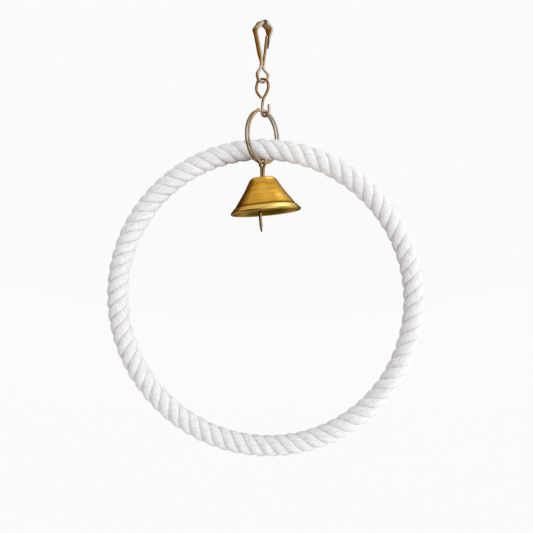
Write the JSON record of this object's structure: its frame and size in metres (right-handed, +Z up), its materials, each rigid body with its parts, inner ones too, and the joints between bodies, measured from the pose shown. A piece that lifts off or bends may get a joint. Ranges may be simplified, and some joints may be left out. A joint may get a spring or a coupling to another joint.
{
  "type": "bird ring swing",
  "caption": "Cage swing: a ring of laid cotton rope under a snap clip, wire link and split ring, with a brass bell hung inside the ring.",
  "frame": {"origin": "the inside top of the clip's hook, where a cage bar carries the swing", "axes": "+Z up, +X to the right of someone who faces the rope ring, +Y away from them"},
  "size_m": [0.2346, 0.0521, 0.3217],
  "materials": {
    "plated_steel": "bright plate that mirrors a warm room",
    "core_steel": "plain drawn wire",
    "cotton": "soft white cotton, laid in strands of fine yarn",
    "bell_brass": "spun and brushed, with a brighter lip"
  },
  "bodies": {
    "clip": {"clip_body": "plated_steel"},
    "gate": {"clip_gate": "plated_steel"},
    "link": {"link": "plated_steel"},
    "split_ring": {"split_ring": "plated_steel"},
    "rope": {"core_hoop": "core_steel", "strand_1": "cotton", "strand_2": "cotton", "strand_3": "cotton"},
    "hanger": {"bell_hanger": "plated_steel"},
    "bell": {"bell_shell": "bell_brass"},
    "clapper": {"clapper": "plated_steel"}
  },
  "joints": [
    {"name": "gate_flex", "type": "hinge", "parent": "clip", "child": "gate", "pos_m": [0.00132, 0.00111, -0.03067], "axis": [0.6428, -0.766, 0], "range_deg": [0, 14], "stiffness_Nm_per_rad": 0.06, "springref_deg": -2.86},
    {"name": "link_swing", "type": "hinge", "parent": "clip", "child": "link", "pos_m": [0.00051, 0.00043, -0.0434], "axis": [0.766, 0.6428, 0], "range_deg": [-40, 40]},
    {"name": "ring_swing", "type": "hinge", "parent": "link", "child": "split_ring", "pos_m": [0.00281, 0.00043, -0.0656], "axis": [0.555, 0.8076, -0.1994], "range_deg": [-40, 40]},
    {"name": "rope_swing", "type": "hinge", "parent": "split_ring", "child": "rope", "pos_m": [0.00285, -0.00274, -0.09319], "axis": [1, 0, 0], "range_deg": [-12, 12]},
    {"name": "hanger_swing", "type": "hinge", "parent": "split_ring", "child": "hanger", "pos_m": [0.00063, -0.00274, -0.10381], "axis": [0.5664, 0.8241, 0], "range_deg": [-40, 40]},
    {"name": "bell_rock", "type": "hinge", "parent": "hanger", "child": "bell", "pos_m": [0.00063, -0.00274, -0.11476], "axis": [0, 1, 0], "range_deg": [-6, 15]},
    {"name": "clapper_swing", "type": "hinge", "parent": "hanger", "child": "clapper", "pos_m": [0.00031, -0.00236, -0.12006], "axis": [0.8241, -0.5664, 0], "range_deg": [-31, 39]}
  ]
}
